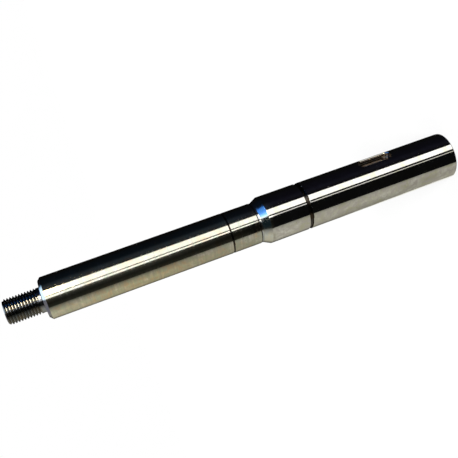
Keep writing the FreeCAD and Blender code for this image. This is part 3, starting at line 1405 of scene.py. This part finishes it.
@dataclass
class Studio:
    """Floor, light, cloth and cards round the standing shaft, in metres and degrees.

    Attributes:
        camera: the camera, whose look fixes where the cards stand.
        journal_radius: radius of the journal in which the cards are seen.
        shaft_length: length of the shaft.
        cards: the glowing cards.
        cloth_colour: the dark cloth's glow.
        cloth_reach: radius of the cloth's dome.
        cloth_lift: how high the cloth lies over the floor.
        cloth_hole: radius of the cloth's hole, as a share of the journal's radius.
        cloth_rows: faces from the cloth's edge to the top of its dome.
        cloth_columns: faces round the cloth.
        floor_rings: radii of the floor's rings of points.
        floor_columns: faces round the floor.
        floor_weld: points of the floor closer than this are one point.
        floor_white: the share of the floor's look that is plain white.
        paper_colour: colour of the rest, which the light and the shadow fall on.
        room_strength: strength of the even light from all round.
        light_strength: strength of the high light.
        light_lean: how far the high light leans from straight above.
        shadow_blur: how wide the high light looks from the floor.
        steepest: the steepest look that is followed to its own height on the shaft.
        level_fall: the fall of a look that doesn't go down, in place of nought.
    """

    camera: PhotoCamera
    journal_radius: float
    shaft_length: float
    cards: tuple[Card, ...] = CARDS
    cloth_colour: Colour = (0.0042, 0.0042, 0.0045)
    cloth_reach: float = 3.8
    cloth_lift: float = 0.0003
    cloth_hole: float = 1.02
    cloth_rows: int = 30
    cloth_columns: int = 72
    floor_rings: tuple[float, ...] = (0.0, 0.05, 0.2, 1.0, 6.0)
    floor_columns: int = 96
    floor_weld: float = 1.0e-6
    floor_white: float = 0.72
    paper_colour: Colour = (0.96, 0.96, 0.96)
    room_strength: float = 0.6
    light_strength: float = 1.8
    light_lean: float = 25.0
    shadow_blur: float = 14.0
    steepest: float = 80.0
    level_fall: float = 1.0e-9

    def place(self, elevation: Array, azimuth: Array, reach: float, lift: float) -> Array:
        """Where the camera's look lands, once the journal's side has mirrored it.

        The look at an elevation meets the journal at the height where the camera sees it so. At
        half the azimuth round the journal it is mirrored to the whole azimuth, and goes on for the
        card's reach, or down to just over the floor.

        Args:
            elevation: elevation of the mirrored look, in degrees.
            azimuth: its azimuth from the camera's direction, in degrees.
            reach: how far it goes, in metres.
            lift: how high over the floor it stops, in metres.

        Returns:
            The places, in the part's frame.
        """
        rise, turn = np.radians(elevation), np.radians(azimuth)
        steep = np.tan(np.minimum(rise, math.radians(self.steepest))) * self.camera.distance
        height = np.clip(self.camera.height + steep, lift, self.shaft_length)
        down = np.maximum(-np.sin(rise), self.level_fall)
        length = np.minimum(reach, (height - lift) / down)
        along = length * np.cos(rise)
        forward = self.journal_radius * np.cos(turn / 2) + along * np.cos(turn)
        aside = self.journal_radius * np.sin(turn / 2) + along * np.sin(turn)
        ahead = self.camera.bearing()
        across = np.array([-ahead[1], ahead[0], 0.0])
        level = forward[..., None] * ahead + aside[..., None] * across
        return level + (height + length * np.sin(rise))[..., None] * UP

    def card_mesh(self, card: Card) -> bpy.types.Mesh:
        """Make a card's mesh, with its glow as a colour attribute.

        Args:
            card: the card.

        Returns:
            The mesh.
        """
        rise, azimuth, glow = card.grid()
        points = self.place(rise, azimuth, card.reach, card.lift)
        surface = Surface(points, np.zeros(len(points) - 1, np.int32), wraps=False)
        return glowing_mesh(card.name, surface, glow)

    def cloth_mesh(self) -> bpy.types.Mesh:
        """Make the dark cloth: a disc on the floor that goes on as a dome over the shaft.

        The disc runs out from its hole to the dome's foot. On the dome, radius and height are the
        reach by the cosine and sine of the rise.

        Returns:
            The mesh.
        """
        turn = np.linspace(0, FULL_TURN, self.cloth_columns + 1)
        rise = np.radians(np.linspace(0, 90, self.cloth_rows + 1))
        inner, lift = self.journal_radius * self.cloth_hole, self.cloth_lift
        radius = np.concatenate([[inner], self.cloth_reach * np.cos(rise)])
        height = np.concatenate([[lift], lift + self.cloth_reach * np.sin(rise)])
        points = round_axis(radius[:, None], turn, height[:, None])
        surface = Surface(points, np.zeros(len(points) - 1, np.int32), wraps=False)
        glow = np.broadcast_to(np.array(self.cloth_colour), points.shape)
        return glowing_mesh("dark_cloth", surface, glow)

    def build_cards(self) -> None:
        """Make the cloth and the cards, which only mirrored looks see."""
        material = bpy.data.materials.new("card_glow")
        tree = empty_tree(material)
        glow = tree.add("ShaderNodeAttribute", attribute_name="glow")
        shader = tree.add("ShaderNodeEmission", {"Color": glow.outputs["Color"], "Strength": 1.0})
        tree.add("ShaderNodeOutputMaterial", {"Surface": shader.outputs[0]})
        for mesh in [self.cloth_mesh()] + [self.card_mesh(card) for card in self.cards]:
            mesh.materials.append(material)
            card = placed(mesh.name, mesh)
            card.visible_camera = False
            card.visible_diffuse = False
            card.visible_shadow = False
            card.visible_transmission = False
            LOG.info("card: %s", mesh.name)

    def build_floor(self) -> None:
        """Make the pale floor, which keeps the shaft's soft shadow.

        Where it is seen directly, a share of its look is plain white, which no light or shadow
        changes, and the rest is white paper.
        """
        turn = np.linspace(0, FULL_TURN, self.floor_columns + 1)
        points = round_axis(np.array(self.floor_rings)[:, None], turn, 0.0)
        surface = Surface(points, np.zeros(len(points) - 1, np.int32), wraps=False)
        mesh = welded_mesh("floor", points.reshape(-1, 3), *surface.faces(), self.floor_weld)
        material = bpy.data.materials.new("pale_floor")
        tree = empty_tree(material)
        seen = self.seen_directly(tree)
        paper = tree.add("ShaderNodeBsdfDiffuse", {"Color": (*self.paper_colour, 1.0)})
        white = tree.add("ShaderNodeEmission", {"Color": WHITE, "Strength": 1.0})
        share = tree.maths("MULTIPLY", seen, self.floor_white)
        mixed = tree.add(
            "ShaderNodeMixShader", {0: share, 1: paper.outputs[0], 2: white.outputs[0]}
        )
        tree.add("ShaderNodeOutputMaterial", {"Surface": mixed.outputs[0]})
        mesh.materials.append(material)
        floor = placed("floor", mesh)

    @staticmethod
    def seen_directly(tree: NodeTree) -> bpy.types.NodeSocket:
        """Tell a direct look from one that only brings light.

        Args:
            tree: the tree that the nodes go into.

        Returns:
            One where the camera, a mirror or clear glass sees the surface, and nought elsewhere.
        """
        path = tree.add("ShaderNodeLightPath")
        first = tree.maths("MAXIMUM", path.outputs["Is Camera Ray"], path.outputs["Is Glossy Ray"])
        return tree.maths("MAXIMUM", first, path.outputs["Is Transmission Ray"])

    def build_world(self) -> None:
        """Make the white surroundings, with a plain soft light for everything that isn't metal."""
        world = bpy.data.worlds.new("white_room")
        bpy.context.scene.world = world
        tree = empty_tree(world)
        white = tree.add("ShaderNodeBackground", {"Color": WHITE, "Strength": 1.0})
        soft = tree.add("ShaderNodeBackground", {"Color": WHITE, "Strength": self.room_strength})
        mixed = tree.add(
            "ShaderNodeMixShader",
            {0: self.seen_directly(tree), 1: soft.outputs[0], 2: white.outputs[0]},
        )
        tree.add("ShaderNodeOutputWorld", {"Surface": mixed.outputs[0]})

    def build_lamp(self) -> None:
        """Make the high light, which leans towards the camera: the shadow falls behind the shaft."""
        data = bpy.data.lights.new("soft_light", "SUN")
        data.angle = math.radians(self.shadow_blur)
        data.energy = self.light_strength
        lamp = placed("soft_light", data)
        lean = math.radians(self.light_lean)
        way = self.camera.bearing() * math.sin(lean) + UP * math.cos(lean)
        lamp.rotation_euler = Vector(way).to_track_quat("Z", "Y").to_euler()
        lamp.visible_glossy = False

    def build(self) -> None:
        """Make the whole studio."""
        self.build_world()
        self.build_floor()
        self.build_lamp()
        self.build_cards()
        bpy.context.scene.view_settings.view_transform = "Standard"


def glowing_mesh(name: str, surface: Surface, glow: Array) -> bpy.types.Mesh:
    """Make an open mesh from a surface, with a colour for each point.

    Args:
        name: the mesh's name.
        surface: the surface.
        glow: a colour for each point of the surface.

    Returns:
        The mesh, whose colours are its attribute glow.
    """
    quads, _ = surface.faces()
    points = surface.points.reshape(-1, 3)
    mesh = bpy.data.meshes.new(name)
    mesh.from_pydata(points.tolist(), [], quads.tolist())
    attribute = mesh.attributes.new("glow", "FLOAT_COLOR", "POINT")
    colours = np.concatenate([glow.reshape(-1, 3), np.ones((len(points), 1))], axis=1)
    attribute.data.foreach_set("color", colours.ravel().astype(np.float32))
    return mesh


def mount(frame: dict, name: str) -> dict:
    """The record's entry of one mount."""
    return next(entry for entry in frame["record"]["mounts"] if entry["name"] == name)


def main() -> None:
    """Build the shaft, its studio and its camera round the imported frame."""
    logging.basicConfig(level=logging.INFO, format="%(message)s")
    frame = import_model()
    low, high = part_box("motor_shaft")
    outline = ShaftOutline(
        thick_radius=mount(frame, "thick_journal")["dims"]["r_mm"],
        slender_radius=mount(frame, "slender_journal")["dims"]["r_mm"],
        total_length=round((high.z - low.z) / MM, 3),
    )
    shaft = MotorShaft(outline).build()
    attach(shaft, "root")
    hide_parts("motor_shaft")
    camera = PhotoCamera()
    camera.build()
    Studio(camera, outline.thick_radius * MM, outline.total_length * MM).build()


if __name__ == "__main__":
    main()
